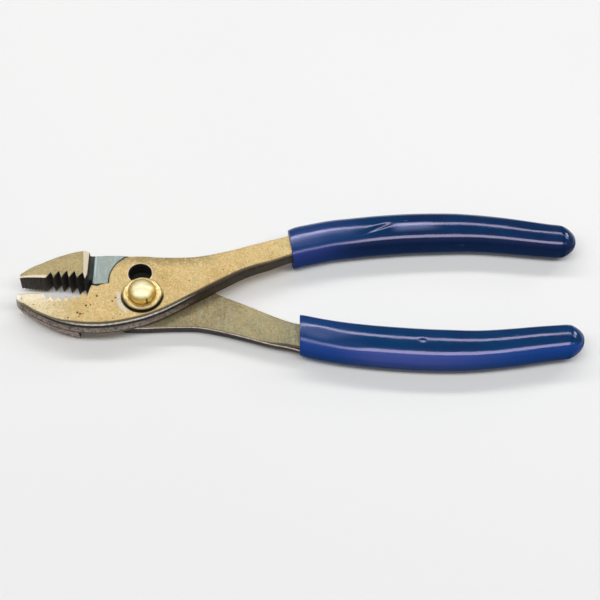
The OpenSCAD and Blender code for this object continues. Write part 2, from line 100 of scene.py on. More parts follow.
class Graph:
    """A material's node tree, built by calls that return sockets.

    A mask is a socket between 0 and 1. x, y and z are the parts of the place on the object, and
    facing holds those of the normal."""

    def __init__(self, name):
        self.mat = bpy.data.materials.new(name)
        self.mat.use_nodes = True
        self.tree = self.mat.node_tree
        self.bsdf = self.tree.nodes["Principled BSDF"]
        texture = self.tree.nodes.new("ShaderNodeTexCoord")
        self.coord = texture.outputs["Object"]
        self.x, self.y, self.z = self.xyz(self.coord)
        self.facing = self.xyz(texture.outputs["Normal"])

    def put(self, socket, value):
        """Link a socket, or set a plain value."""
        if isinstance(value, bpy.types.NodeSocket):
            self.tree.links.new(value, socket)
        elif value is not None:
            socket.default_value = value

    def node(self, kind, inputs=(), **settings):
        """A new node, with its settings and the values of its inputs."""
        n = self.tree.nodes.new("ShaderNode" + kind)
        for key, value in settings.items():
            setattr(n, key, value)
        for key, value in dict(inputs).items():
            self.put(n.inputs[key], value)
        return n

    def math(self, operation, a, b=None):
        n = self.node("Math", operation=operation)
        self.put(n.inputs[0], a)
        self.put(n.inputs[1], b)
        return n.outputs[0]

    def times(self, first, *others):
        """The product of all values. Masks multiplied overlap."""
        for other in others:
            first = self.math("MULTIPLY", first, other)
        return first

    def plus(self, a, b):
        return self.math("ADD", a, b)

    def minus(self, a, b):
        return self.math("SUBTRACT", a, b)

    def most(self, first, *others):
        """The largest of all values. Masks joined by it lie side by side."""
        for other in others:
            first = self.math("MAXIMUM", first, other)
        return first

    def inverse(self, mask):
        return self.minus(1.0, mask)

    def noise(self, scale, detail=3.0, rough=0.55, distort=0.0, vector=None):
        n = self.node("TexNoise", {"Vector": vector or self.coord, "Scale": scale, "Detail": detail,
                                   "Roughness": rough, "Distortion": distort})
        return n.outputs["Fac"]

    def scaled(self, x, y, z):
        """The object's coordinates times a factor for each axis."""
        return self.node("VectorMath", {0: self.coord, 1: (x, y, z)}, operation="MULTIPLY").outputs[0]

    def ramp(self, value, low, high, out_low=0.0, out_high=1.0, smooth=True):
        """A value taken from one range to another, and held at its ends."""
        n = self.node("MapRange", {"Value": value, "From Min": low, "From Max": high,
                                   "To Min": out_low, "To Max": out_high},
                      interpolation_type="SMOOTHSTEP" if smooth else "LINEAR")
        return n.outputs["Result"]

    def span(self, value, low_mm, high_mm, out_low=0.0, out_high=1.0):
        """A ramp between two places in millimetres."""
        return self.ramp(value, low_mm * MM, high_mm * MM, out_low, out_high)

    def mix(self, factor, a, b):
        """Colour a at factor 0, colour b at 1."""
        n = self.node("Mix", data_type="RGBA")
        self.put(n.inputs[0], factor)
        self.put(n.inputs[6], a if isinstance(a, bpy.types.NodeSocket) else (*a, 1))
        self.put(n.inputs[7], b if isinstance(b, bpy.types.NodeSocket) else (*b, 1))
        return n.outputs[2]

    def stain(self, colour, tint, mask, amount):
        """The colour, turned towards a tint by an amount where the mask is."""
        return self.mix(self.times(mask, amount), colour, tint)

    def xyz(self, vector):
        return self.node("SeparateXYZ", {0: vector}).outputs

    def cells(self, scale, size, chance):
        """Mask of round spots in some cells of a pattern, between two distances and two chances."""
        cell = self.node("TexVoronoi", {"Vector": self.coord, "Scale": scale}).outputs
        return self.times(self.ramp(cell["Distance"], *size, 1.0, 0.0),
                          self.ramp(self.xyz(cell["Color"])[0], *chance))

    def bump(self, height, strength, distance_mm):
        return self.node("Bump", {"Height": height, "Strength": strength,
                                  "Distance": distance_mm * MM}).outputs[0]

    def near(self, point_mm, inner_mm, outer_mm):
        """1 within inner_mm of a point across the tool, 0 beyond outer_mm."""
        far = self.node("VectorMath", {0: self.scaled(1, 1, 0), 1: (point_mm[0] * MM, point_mm[1] * MM, 0)},
                        operation="DISTANCE").outputs["Value"]
        return self.span(far, inner_mm, outer_mm, 1.0, 0.0)

    def ring(self, point_mm, inner_mm, outer_mm, soft_mm):
        """1 between two distances from a point across the tool."""
        return self.times(self.near(point_mm, outer_mm, outer_mm + soft_mm),
                          self.inverse(self.near(point_mm, inner_mm - soft_mm, inner_mm)))

    def bands(self, value, low, high, stops):
        """Colours at places between low and high, with straight blends between them."""
        n = self.node("ValToRGB", {0: self.ramp(value, low, high, smooth=False)})
        marks = n.color_ramp.elements
        while len(marks) < len(stops):
            marks.new(0.5)
        for mark, (place, colour) in zip(marks, stops):
            mark.position = (place - low) / (high - low)
            mark.color = (*colour, 1)
        return n.outputs[0]

    def finish(self, **inputs):
        for key, value in inputs.items():
            self.put(self.bsdf.inputs[key.replace("_", " ")],
                     (*value, 1) if isinstance(value, tuple) else value)
        return self.mat


# ---- places on the two forged halves, as masks

def left_of(full, gone):
    """Maker of a mask of what lies left of one place, gone at another."""
    return lambda g: g.span(g.x, full, gone, 1.0, 0.0)


def right_of(gone, full):
    """Maker of a mask of what lies right of one place, gone at another."""
    return lambda g: g.span(g.x, gone, full)


def heel_side(g):
    """The strip across the tool that holds the upper jaw's heel."""
    return g.times(g.span(g.x, -23.8, -23.2), g.span(g.x, -18.8, -19.4))


def heel_wall(g):
    """The upright wall of the upper jaw's heel."""
    return g.times(heel_side(g), g.ramp(g.facing[0], 0.75, 0.9))


def lap_level(g):
    """The plane where the two halves lap."""
    return g.span(g.math("ABSOLUTE", g.minus(g.z, MID_Z * MM)), 0.12, 0.25, 1.0, 0.0)


def lap_plate(g):
    """The lapped face of the rear half, left of the boss."""
    return g.times(lap_level(g), g.span(g.x, 0, -8))


def lap_scratches(g):
    """Fine scratches across the tool on the lapped face."""
    lines = g.noise(900, 4, 0.7, vector=g.scaled(1.0, 0.12, 1.0))
    return g.times(lap_plate(g), g.ramp(lines, 0.48, 0.62))


def boss_shadow(g):
    """Painted shadow on the lapped face along the edge of the other half's boss, placed where that edge
    shows from the camera's height, and painted shade on the lapped face below a ragged line.
    """
    shown = (BOSS[0], BOSS[1] + HALF_T / math.tan(math.radians(ELEVATION)))
    ring = g.ring(shown, BOSS_R - 2.5, BOSS_R + 0.65, 0.25)
    below = g.plus(g.y, g.ramp(g.noise(700, 3, 0.6), 0.3, 0.7, -0.25 * MM, 0.25 * MM))
    return g.times(lap_plate(g), g.most(ring, g.span(below, 9.3, 8.9)))


def heel_corner_shade(g):
    """Painted shade in the corner at the foot of the heel."""
    return g.times(lap_plate(g), g.span(g.x, -18.5, -18.9))


def heel_glint(g):
    """A bright line beside the foot of the heel."""
    return g.times(lap_plate(g), g.span(g.x, -18.6, -18.35), g.span(g.x, -17.8, -18.05),
                   g.span(g.y, 11, 13))


def nose_strip(g):
    """Bright metal along the biting edge of the upper nose."""
    return g.times(g.span(g.x, -34, -35.5), g.span(g.y, 10.2, 9.4), g.ramp(g.facing[2], 0.5, 0.8))


def neck_brush(g):
    """Brush marks across the neck."""
    lines = g.noise(700, 4, 0.7, vector=g.scaled(1.0, 0.14, 1.0))
    return g.times(g.span(g.x, 12, 20), g.ramp(g.facing[2], 0.8, 0.95), g.ramp(lines, 0.5, 0.64))


def crossing_shade(g):
    """Painted shade, brown, on the rear half where it comes out from under the front half."""
    return g.most(g.near((28.5, 0.5), 3, 11), g.times(g.span(g.x, 10, 16), g.span(g.x, 30, 20)))


def bite_edge(g):
    """Paler metal along the biting edge of the lower nose."""
    return g.times(g.span(g.x, -20, -27), g.span(g.y, -3, 0.3))


def tip_glint(g):
    """The bright tip of the lower nose."""
    return g.times(g.span(g.x, -43, -44.2), g.ramp(g.facing[2], 0.6, 0.85))


def boss_top(g):
    """The half's upper part behind the slot is browner."""
    return g.times(g.span(g.y, 11, 17), g.span(g.x, 30, 16))


def boss_edge_shade(g):
    """Painted shade along the edge of the boss and the throat below it."""
    arc = g.times(g.ring(BOSS, BOSS_R - 0.45, BOSS_R + 0.4, 0.2), g.span(g.x, 1, -2), g.span(g.y, 4.5, 6))
    throat = g.times(g.ramp(g.facing[1], 0.15, 0.35), g.span(g.x, -20.5, -19.5), g.span(g.x, -10, -11))
    return g.times(g.most(arc, throat), g.ramp(g.facing[2], 0.1, 0.3))


def slot_rim(g):
    """The worn rim of the slot's open hole."""
    return g.times(g.ring(UPPER_HOLE, 4.0, 4.5, 0.25), g.ramp(g.facing[2], 0.1, 0.3))


def washer_shadow(g):
    """Painted shadow of the washer on the face: a dark ring, widest towards -Y."""
    return g.times(g.ring(LOWER_HOLE, 6.3, WASHER_D / 2 + 0.5, 0.35), g.span(g.y, 3, -1))


def washer_reflection(g):
    """A painted reflection: a pale grey crescent on the face, left of the washer."""
    return g.times(g.ring(LOWER_HOLE, 8.1, 8.9, 0.8), g.span(g.x, -3.5, -6.5), g.span(g.y, 2.5, 0.5),
                   g.ramp(g.noise(500, 4, 0.6), 0.25, 0.5))


def washer_tan_and_reflection(g):
    """Golden tarnish right of the washer, and in it a painted reflection of the dome's light on the face."""
    return g.times(g.near((8.5, 4.5), 2, 8), g.ramp(g.noise(260, 4, 0.6), 0.35, 0.6))


# ---- materials

def bronze_face(g, light, deep, pale, tints, tones, grain, cloud_scale):
    """Clouds of two tones, then faint streaks along the tool, under a fine grain."""
    colour = g.mix(g.ramp(g.noise(cloud_scale, 3, 0.5, 0.3), 0.35, 0.68), light, deep)
    for mask, tint, amount in tones:
        colour = g.stain(colour, tint, mask(g), amount)
    # Weathering shifts the colour a little towards green here and pink there
    shift = g.noise(480, 5, 0.75, 0.5)
    colour = g.mix(g.ramp(shift, 0.5, 0.66, 0.0, 0.6), colour, tints[0])
    colour = g.mix(g.ramp(shift, 0.48, 0.34, 0.0, 0.6), colour, tints[1])
    streaks = g.ramp(g.noise(420, 4, 0.6, vector=g.scaled(0.16, 1.0, 1.0)), 0.46, 0.74)
    colour = g.stain(colour, deep, streaks, 0.3)
    blots = g.ramp(g.noise(1100, 3, 0.6), 0.48, 0.7)
    colour = g.stain(colour, pale, blots, 0.6)
    return g.mix(g.ramp(grain, 0.46, 0.7, 0.0, 0.62), colour, tuple(v * 0.45 for v in deep))


def bronze_side(g, bands, flash_highlight, neck, outward):
    """Bands from the resting plane up, of scale with painted light: dark bands of painted shade and a bright
    line of painted highlight, broken by rusty and grey patches.
    """
    band_top = 11.6
    colour = g.bands(g.z, 0.0, band_top * MM, [(place * MM, tint) for place, tint in bands])
    if neck:
        colour = g.stain(colour, neck[0], g.span(g.x, 12, 20), neck[1])
    patches = g.ramp(g.noise(800, 5, 0.75, 0.8), 0.42, 0.6)
    line = g.times(g.span(g.z, flash_highlight[0] - 0.1, flash_highlight[0]), g.span(g.z, flash_highlight[1] + 0.1, flash_highlight[1]))
    patches = g.times(patches, g.ramp(line, 0, 1, 1.0, 0.45))
    # The line's painted highlight fades towards the nose
    colour = g.mix(g.times(line, g.span(g.x, -20, -30, 0.0, 0.75)), colour, FLASH_FADED)
    colour = g.stain(colour, SCALE_PATCH, patches, 0.75)
    rust = g.ramp(g.noise(260, 4, 0.7), 0.52, 0.7)
    colour = g.stain(colour, RUST, rust, 0.35)
    # The cut faces of the mouth get painted shade instead of bands, and so does the upright wall of the heel
    inside = g.times(g.span(g.x, -13, -11, 1.0, 0.0), g.ramp(g.times(g.facing[1], outward), 0.0, -0.3))
    colour = g.mix(inside, colour, MOUTH_SHADE)
    return g.mix(heel_wall(g), colour, HEEL_WALL_SHADE)


def forged_bronze(name, light, deep, pale, tints, rim, side_bands, flash_highlight, tones, marks, outward,
                  side_neck=None, cloud_scale=70, pits=()):
    """Aluminium bronze as it left the forge: an even, finely grained face, sides in bands of scale and
    painted shade, worn edges with painted highlight and painted shade, and old grease with painted shade
    where the two halves lap.

    Tones lie under the grain and marks over the worn edges and their painted highlight, each a (mask maker,
    tint, amount). A pit is (x, y, radius) on the outer face. side_neck is the plainer colour of the neck's
    sides and its amount. flash is the pair of heights between which the side has a bright line of painted
    highlight.
    outward is 1 or -1, the side of the tool along Y that the jaw's back faces."""
    g = Graph(name)
    up = g.math("ABSOLUTE", g.facing[2])
    on_side = g.ramp(up, 0.3, 0.62, 1.0, 0.0)
    grain = g.noise(1500, 4, 0.75)
    colour = g.mix(on_side, bronze_face(g, light, deep, pale, tints, tones, grain, cloud_scale),
                   bronze_side(g, side_bands, flash_highlight, side_neck, outward))
    # Edges get a painted highlight where they face the light, broken as wear is, and painted shade elsewhere
    turning = g.times(g.ramp(up, 0.35, 0.55), g.ramp(up, 0.96, 0.88),
                      g.inverse(g.times(heel_side(g), g.ramp(g.facing[0], 0.2, 0.4))))
    wear_and_highlight = g.times(turning, g.ramp(g.noise(700, 3, 0.6), 0.2, 0.45))
    lit = g.ramp(g.facing[1], -0.25, -0.1)
    colour = g.mix(g.times(wear_and_highlight, lit, 0.85), colour, rim)
    colour = g.mix(g.times(turning, g.inverse(lit), 0.75), colour, EDGE_SHADE)
    # A painted highlight, pale, on the ground bevel down the heel
    bevel_cut = g.times(heel_side(g), g.ramp(g.facing[0], 0.3, 0.5), g.ramp(g.facing[0], 0.92, 0.85),
                        g.ramp(g.facing[2], 0.25, 0.45), g.span(g.z, 8, 8.6))
    colour = g.mix(bevel_cut, colour, BEVEL_HIGHLIGHT)
    for mask, tint, amount in marks:
        colour = g.stain(colour, tint, mask(g), amount)
    # Small pits scattered over everything, and the few large ones
    pit = g.cells(420, (0.05, 0.16), (0.84, 0.86))
    for px, py, radius in pits:
        pit = g.most(pit, g.times(g.near((px, py), radius * 0.4, radius * 1.3), g.inverse(on_side)))
    colour = g.stain(colour, PIT_SHADE, pit, 0.85)
    # Old grease and painted shade round the pin on the lapped faces, out to the edge of the other half's
    # boss
    grease_and_shade = g.times(lap_level(g), g.near(BOSS, BOSS_R + 0.3, BOSS_R + 1.1))
    colour = g.stain(colour, GREASE_AND_SHADE, grease_and_shade, 0.96)
    # The bore's wall gets the same dark grease and painted shade
    bore = g.times(on_side, g.most(g.near(LOWER_HOLE, 4.5, 5.0), g.near(UPPER_HOLE, 4.5, 5.0)))
    colour = g.stain(colour, GREASE_AND_SHADE, bore, 0.95)
    rough = g.plus(g.ramp(g.noise(600, 4, 0.6), 0.3, 0.7, 0.4, 0.55), g.times(on_side, 0.14))
    rough = g.minus(rough, g.times(wear_and_highlight, 0.12))
    height = g.plus(g.times(g.noise(520, 5, 0.65), 0.45), g.times(grain, 0.35))
    height = g.minus(height, g.times(pit, 0.9))
    normal = g.bump(height, g.ramp(on_side, 0, 1, 0.3, 0.9, smooth=False), 0.12)
    # Dull scale, grease and bare scratched edges scatter more light than the smooth face
    dull = g.most(on_side, grease_and_shade, bevel_cut, wear_and_highlight)
    metal = g.ramp(dull, 0.0, 1.0, 0.8, 0.25)
    return g.finish(Base_Color=colour, Roughness=rough, Metallic=metal, Normal=normal)


def polished_brass():
    """The pin: smeared by hands, with a pale painted highlight in the middle of the dome, nicked here and
    there.
    """
    g = Graph("polished_brass")
    smear = g.ramp(g.noise(380, 4, 0.6, 0.8), 0.45, 0.7)
    colour = g.mix(smear, (0.8, 0.58, 0.15), (0.68, 0.46, 0.1))
    # A painted highlight in the middle of the dome, pale and less metallic
    dome_highlight = g.near((0.1, -0.6), 2.6, 4.6)
    colour = g.mix(dome_highlight, colour, (1.0, 0.92, 0.58))
    nick = g.cells(520, (0.05, 0.15), (0.88, 0.9))
    colour = g.stain(colour, NICK, nick, 0.8)
    # One deep nick on the lower edge of the dome
    scar = g.near((2.1, -4.5), 0.25, 0.65)
    colour = g.stain(colour, SCAR, scar, 0.85)
    rough = g.ramp(g.noise(900, 4, 0.6), 0.3, 0.7, 0.42, 0.5)
    height = g.minus(g.times(g.noise(240, 3, 0.5), 0.5), g.plus(nick, scar))
    return g.finish(Base_Color=colour, Roughness=rough, Metallic=g.ramp(dome_highlight, 0, 1, 1.0, 0.6),
                    Normal=g.bump(height, 0.18, 0.1))


def worn_brass(name, light, deep):
    """Satin brass with dirt in its hollows, painted shade on its sides, and turning marks round the pivot
    axis.
    """
    turning_pitch = 0.16
    g = Graph(name)
    colour = g.mix(g.ramp(g.noise(300, 5, 0.65, 0.5), 0.38, 0.66), light, deep)
    bend = g.node("NewGeometry").outputs["Pointiness"]
    colour = g.mix(g.ramp(bend, 0.48, 0.42, 0.0, 0.85), colour, BRASS_HOLLOW)
    up = g.math("ABSOLUTE", g.facing[2])
    # Painted shade on the sides, which do not face up
    colour = g.mix(g.ramp(up, 0.25, 0.6, 0.95, 0.0), colour, BRASS_SIDE_SHADE)
    far = g.node("VectorMath", {0: g.scaled(1, 1, 0)}, operation="LENGTH").outputs["Value"]
    rings = g.math("SINE", g.times(far, 2 * math.pi / (turning_pitch * MM)))
    height = g.plus(g.times(rings, 0.15), g.noise(800, 4, 0.6))
    rough = g.ramp(g.noise(700, 4, 0.6), 0.3, 0.7, 0.26, 0.46)
    return g.finish(Base_Color=colour, Roughness=rough, Metallic=0.95, Normal=g.bump(height, 0.25, 0.08))


def dipped_vinyl(name, deep, tone, bloom, mouth, flank_mouth, flank_middle, flank_far, flank_amount,
                 flank_turn, mouth_sheen, cloud_sheen):
    """Glossy blue dip: thick and smooth, a little cloudy, with scuffs and an uneven skin.

    Deep, tone and bloom are the colours of the body, and mouth its tint next to the mouth. The flank
    towards -Y has tints of its own that paint a sheen on some stretches and shade on others, the last of
    them from flank_turn on, two places along the tool.
    The last two arguments are amounts of a pale painted sheen under the upper highlight: next to the mouth,
    and further on."""
    g = Graph(name)
    colour = g.mix(g.ramp(g.noise(60, 4, 0.55, 0.5), 0.35, 0.68), deep, tone)
    haze = g.ramp(g.noise(240, 4, 0.6, vector=g.scaled(0.25, 1.0, 1.0)), 0.52, 0.75)
    colour = g.stain(colour, bloom, haze, 0.3)
    near_mouth = g.span(g.x, 60, 88, 1.0, 0.0)
    colour = g.stain(colour, mouth, near_mouth, 0.6)
    # A pale painted sheen under the upper highlight, next to the mouth and further on
    sheen_by_mouth = g.times(g.span(g.x, 62, 80, 1.0, 0.0), mouth_sheen)
    cloud = g.times(g.span(g.x, 88, 93), g.span(g.x, 99, 110, 1.0, 0.0), cloud_sheen)
    painted_sheen = g.times(g.most(sheen_by_mouth, cloud), g.ramp(g.facing[1], -0.26, -0.03),
                    g.ramp(g.facing[1], 0.03, 0.09, 1.0, 0.0),
                    g.ramp(g.noise(150, 3, 0.6, vector=g.scaled(0.3, 1.0, 1.0)), 0.2, 0.5, 0.6, 1.0))
    colour = g.mix(painted_sheen, colour, VINYL_SHEEN)
    # Painted sheen and painted shade on the flank towards -Y
    flank = g.times(g.ramp(g.facing[1], -0.2, -0.6), g.ramp(g.facing[2], -0.35, 0.3))
    flank_colour = g.mix(g.span(g.x, 66, 84), flank_mouth, flank_middle)
    flank_colour = g.mix(g.span(g.x, *flank_turn), flank_colour, flank_far)
    colour = g.stain(colour, flank_colour, flank, flank_amount)
    scuff = g.times(g.ramp(g.noise(1500, 3, 0.7, vector=g.scaled(0.15, 1.0, 1.0)), 0.66, 0.74),
                    g.ramp(g.noise(70, 2, 0.5), 0.5, 0.62))
    colour = g.stain(colour, VINYL_SCUFF, scuff, 0.4)
    rough = g.plus(g.ramp(g.noise(130, 4, 0.6), 0.3, 0.7, 0.08, 0.15), g.times(scuff, 0.25))
    rough = g.plus(rough, g.times(near_mouth, 0.09))
    skin = g.plus(g.times(g.noise(140, 3, 0.5), 0.8), g.times(g.noise(900, 3, 0.5), 0.04))
    # The highlight on top is dimmer than the one in front, but for the stretch next to the mouth
    top_dim = g.times(g.ramp(g.facing[1], -0.35, -0.1), g.span(g.x, 60, 84, 0.0, 0.32))
    front_dim = g.times(g.ramp(g.facing[1], -0.3, -0.15, 1.0, 0.0), g.span(g.x, 62, 84, 0.45, 0.0))
    # Both highlights stop short of the nose, which has a glint of its own
    gap = g.times(g.span(g.x, 143, 146), g.ramp(g.facing[0], 0.08, 0.2),
                  g.ramp(g.facing[0], 0.3, 0.38, 1.0, 0.0))
    dim = g.most(top_dim, front_dim, g.times(gap, 0.9))
    shine = g.times(g.ramp(g.facing[2], 0.45, 0.75, 0.03, 0.95), g.inverse(dim))
    return g.finish(Base_Color=colour, Roughness=rough, Normal=g.bump(skin, 0.2, 0.35), IOR=1.5,
                    Specular_IOR_Level=shine, Specular_Tint=(0.83, 0.72, 1.0))


# ---- mesh helpers

def add_object(name, mesh, body, material, stands_for=None):
    """A piece of the visual model, which may stand in for a node of the CAD."""
    obj = bpy.data.objects.new(name, mesh)
    scene.collection.objects.link(obj)
    obj.data.materials.clear()
    obj.data.materials.append(material)
    if stands_for:
        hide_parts(stands_for)
    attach(obj, body)
    return obj


def mesh_of(name, points, faces, smooth=True):
    """A mesh from points in millimetres, its faces turned outwards."""
    mesh = bpy.data.meshes.new(name)
    mesh.from_pydata([tuple(v * MM for v in p) for p in points], [], faces)
    bm = bmesh.new()
    bm.from_mesh(mesh)
    bmesh.ops.recalc_face_normals(bm, faces=bm.faces)
    bm.to_mesh(mesh)
    bm.free()
    for p in mesh.polygons:
        p.use_smooth = smooth
    return mesh


def loft(name, rings):
    """Closed mesh through rings of the same number of points, capped at both ends."""
    n = len(rings[0])
    faces = [[j * n + i, j * n + (i + 1) % n, (j + 1) * n + (i + 1) % n, (j + 1) * n + i]
             for j in range(len(rings) - 1) for i in range(n)]
    faces += [list(range(n)), list(range((len(rings) - 1) * n, len(rings) * n))]
    return mesh_of(name, [p for r in rings for p in r], faces)


def lathe(name, profile, steps):
    """Solid of revolution about the pivot axis from (radius, height) points, bottom to top."""
    rings = [[(r * math.cos(2 * math.pi * i / steps), r * math.sin(2 * math.pi * i / steps), z)
              for i in range(steps)] for r, z in profile]
    return loft(name, rings)


def softened(node, voxel, rounds, keep):
    """A copy of a CAD node with its edges worn round, as a new mesh: remeshed at a voxel size,
    smoothed some rounds, and thinned to a share of its faces."""
    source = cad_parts[node]
    copy = bpy.data.objects.new(node + "_work", source.data.copy())
    scene.collection.objects.link(copy)
    copy.matrix_world = source.matrix_world
    remesh = copy.modifiers.new("remesh", "REMESH")
    remesh.mode = "VOXEL"
    remesh.voxel_size = voxel * MM
    remesh.use_smooth_shade = True
    smooth = copy.modifiers.new("smooth", "SMOOTH")
    smooth.factor = 0.5
    smooth.iterations = rounds
    if keep < 1:
        thin = copy.modifiers.new("thin", "DECIMATE")
        thin.ratio = keep
    graph = bpy.context.evaluated_depsgraph_get()
    mesh = bpy.data.meshes.new_from_object(copy.evaluated_get(graph))
    mesh.name = node + "_worn"
    bpy.data.objects.remove(copy, do_unlink=True)
    for p in mesh.polygons:
        p.use_smooth = True
    return mesh


# ---- the two forged halves

FRONT = forged_bronze(
    "front_bronze", light=(0.63, 0.465, 0.205), deep=(0.535, 0.37, 0.142), pale=(0.76, 0.61, 0.35),
    tints=((0.47, 0.42, 0.19), (0.74, 0.5, 0.29)), rim=(0.95, 0.84, 0.62), outward=-1,
    # The side bands hold painted light: dark bands of painted shade and a pale line of painted highlight
    side_bands=[(5.7, (0.5, 0.39, 0.33)), (6.15, (0.45, 0.35, 0.29)), (6.35, (0.03, 0.024, 0.018)),
                (6.6, (0.04, 0.03, 0.024)), (6.9, (0.42, 0.34, 0.28)), (8.6, (0.3, 0.24, 0.19)),
                (8.9, (0.012, 0.011, 0.01)), (9.7, (0.016, 0.014, 0.012)), (9.95, (0.9, 0.87, 0.78)),
                (10.4, (0.9, 0.87, 0.78)), (10.65, (0.1, 0.085, 0.065))],
    flash_highlight=(9.95, 10.4), side_neck=((0.045, 0.032, 0.012), 0.92),
    tones=[(left_of(-38, -20), (0.8, 0.72, 0.51), 0.75), (boss_top, (0.245, 0.19, 0.085), 0.9),
           (right_of(40, 56), (0.74, 0.61, 0.34), 0.5), (washer_tan_and_reflection, (0.52, 0.34, 0.1), 0.5)],
    marks=[(washer_shadow, (0.015, 0.012, 0.01), 0.95), (washer_reflection, (0.64, 0.62, 0.55), 0.7),
           (bite_edge, (0.93, 0.85, 0.7), 0.45), (tip_glint, (0.98, 0.95, 0.88), 0.55),
           (slot_rim, (0.85, 0.74, 0.56), 0.5), (boss_edge_shade, (0.03, 0.026, 0.02), 0.9)],
    pits=[(-16.1, -0.4, 0.5), (-9.4, -1.1, 0.4), (-10.4, -2.6, 0.4), (-19.6, -4.5, 0.5), (-18.0, -4.2, 0.35),
          (-22.4, -7.5, 0.5), (-21.4, -8.1, 0.5), (-20.4, -8.0, 0.3), (-25.6, -9.5, 0.4)])
# The rear half's bronze is darker and greener than the front's: a patina of its own, and painted shade
REAR = forged_bronze(
    "rear_bronze", light=(0.4, 0.33, 0.165), deep=(0.29, 0.26, 0.15), pale=(0.46, 0.4, 0.24),
    tints=((0.3, 0.31, 0.19), (0.42, 0.31, 0.17)), rim=(0.95, 0.87, 0.7), outward=1, cloud_scale=110,
    # Below the lower bright line the side bands are painted shade, near black; the bright lines are painted
    # highlights
    side_bands=[(0.3, (0.014, 0.012, 0.01)), (4.2, (0.014, 0.012, 0.01)), (4.8, (0.008, 0.007, 0.006)),
                (4.95, (1.0, 0.85, 0.73)), (5.5, (1.0, 0.85, 0.73)), (5.65, (0.02, 0.017, 0.014)),
                (8.6, (0.14, 0.115, 0.09)), (8.9, (0.02, 0.016, 0.014)), (9.6, (0.03, 0.026, 0.022)),
                (9.85, (0.7, 0.64, 0.55)), (10.8, (0.7, 0.64, 0.55))],
    flash_highlight=(4.95, 5.5),
    tones=[(left_of(-26, -19), (0.5, 0.38, 0.17), 0.75), (crossing_shade, (0.26, 0.18, 0.085), 0.6),
           (right_of(42, 56), (0.22, 0.21, 0.13), 0.85)],
    # The lapped plate's grey-blue is a painted reflection; the dark marks along the boss and at the foot of
    # the heel are painted shade
    marks=[(lap_plate, (0.3, 0.37, 0.36), 0.85), (lap_scratches, (0.5, 0.6, 0.6), 0.35),
           (boss_shadow, (0.012, 0.011, 0.01), 0.92), (heel_corner_shade, (0.02, 0.018, 0.015), 0.9),
           (heel_glint, (0.5, 0.66, 0.7), 0.6), (nose_strip, (0.85, 0.76, 0.62), 0.7),
           (neck_brush, (0.42, 0.4, 0.29), 0.3)])

for half, metal in (("front", FRONT), ("rear", REAR)):
    add_object(half + "_half_worn", softened(half + "_half", voxel=0.22, rounds=4, keep=0.4), half,
               metal, half + "_half")

# ---- the pivot: washer, domed pin and nut

WASHER_Z = MID_Z + HALF_T + LAP_GAP
HEAD_Z = WASHER_Z + WASHER_T + LAP_GAP / 2
WASHER_BEVEL = WASHER_T * 0.35
WASHER_BORE_R = PIN_D / 2 + 0.1


def washer_mesh(steps=128):
    """A bevelled ring, its outline turned about the pivot axis."""
    r, bore, cut, top = WASHER_D / 2, WASHER_BORE_R, WASHER_BEVEL, WASHER_T
    outline = [(bore, 0), (r - 0.1, 0), (r, 0.1), (r, top - cut - 0.08), (r - 0.05, top - cut + 0.04),
               (r - cut + 0.06, top - 0.04), (r - cut - 0.1, top), (bore + 0.1, top), (bore, top - 0.1)]
    points, faces, n = [], [], len(outline)
    for i in range(steps):
        a = 2 * math.pi * i / steps
        points += [(r_ * math.cos(a), r_ * math.sin(a), WASHER_Z + z) for r_, z in outline]
    for i in range(steps):
        for k in range(n):
            a, b = i * n, ((i + 1) % steps) * n
            faces.append([a + k, a + (k + 1) % n, b + (k + 1) % n, b + k])
    return mesh_of("washer_turned", points, faces)


def dome_profile():
    """The pin's head: an upright rim, a worn shoulder and a cap of one radius."""
    rim = HEAD_H * HEAD_RIM
    cap = HEAD_H - rim
    radius = (HEAD_D ** 2 / 4 + cap ** 2) / (2 * cap)
    r = HEAD_D / 2
    half, soft = math.asin(r / radius), 0.8
    fall = soft * 0.85
    shoulder_steps, cap_steps = 12, 24
    points = [(0.02, 0), (r - 0.12, 0), (r, 0.1)]
    for i in range(shoulder_steps + 1):
        a = math.pi / 2 - (math.pi / 2 - half) * i / shoulder_steps
        points.append((r - soft + soft * math.sin(a),
                       rim - fall + fall * math.cos(a) / math.cos(half)))
    start = math.asin(points[-1][0] / radius)
    centre_z = HEAD_H - radius
    # What the shoulder's end lies off the cap fades out towards the top
    drop = points[-1][1] - (centre_z + radius * math.cos(start))
    for i in range(1, cap_steps + 1):
        a = start * (1 - i / cap_steps)
        points.append((max(0.01, radius * math.sin(a)),
                       centre_z + radius * math.cos(a) + drop * (a / start) ** 2))
    return [(r_, HEAD_Z + z) for r_, z in points]


def shank_mesh(sides=96):
    """The flatted shank between the thread and the head."""
    rings = []
    for z in (NUT_T, HEAD_Z + 0.05):
        ring = []
        for i in range(sides):
            a = 2 * math.pi * i / sides
            u = max(-PIN_FLATS / 2, min(PIN_FLATS / 2, PIN_D / 2 * math.cos(a)))
            v = PIN_D / 2 * math.sin(a)
            ring.append((u * math.cos(SLOT_LEAN) - v * math.sin(SLOT_LEAN),
                         u * math.sin(SLOT_LEAN) + v * math.cos(SLOT_LEAN), z))
        rings.append(ring)
    return loft("pin_shank", rings)


def thread_profile(pitch=1.0, depth=0.35):
    """The threaded end inside the nut, drawn as rings of one pitch."""
    r, start = THREAD_D / 2, 0.25
    points = [(r - 0.5, 0.0), (r - depth, start)]
    z = start
    while z + pitch < NUT_T:
        points += [(r - depth, z + 0.1 * pitch), (r, z + 0.45 * pitch), (r, z + 0.6 * pitch),
                   (r - depth, z + 0.95 * pitch)]
        z += pitch
    return points + [(r - depth, NUT_T)]


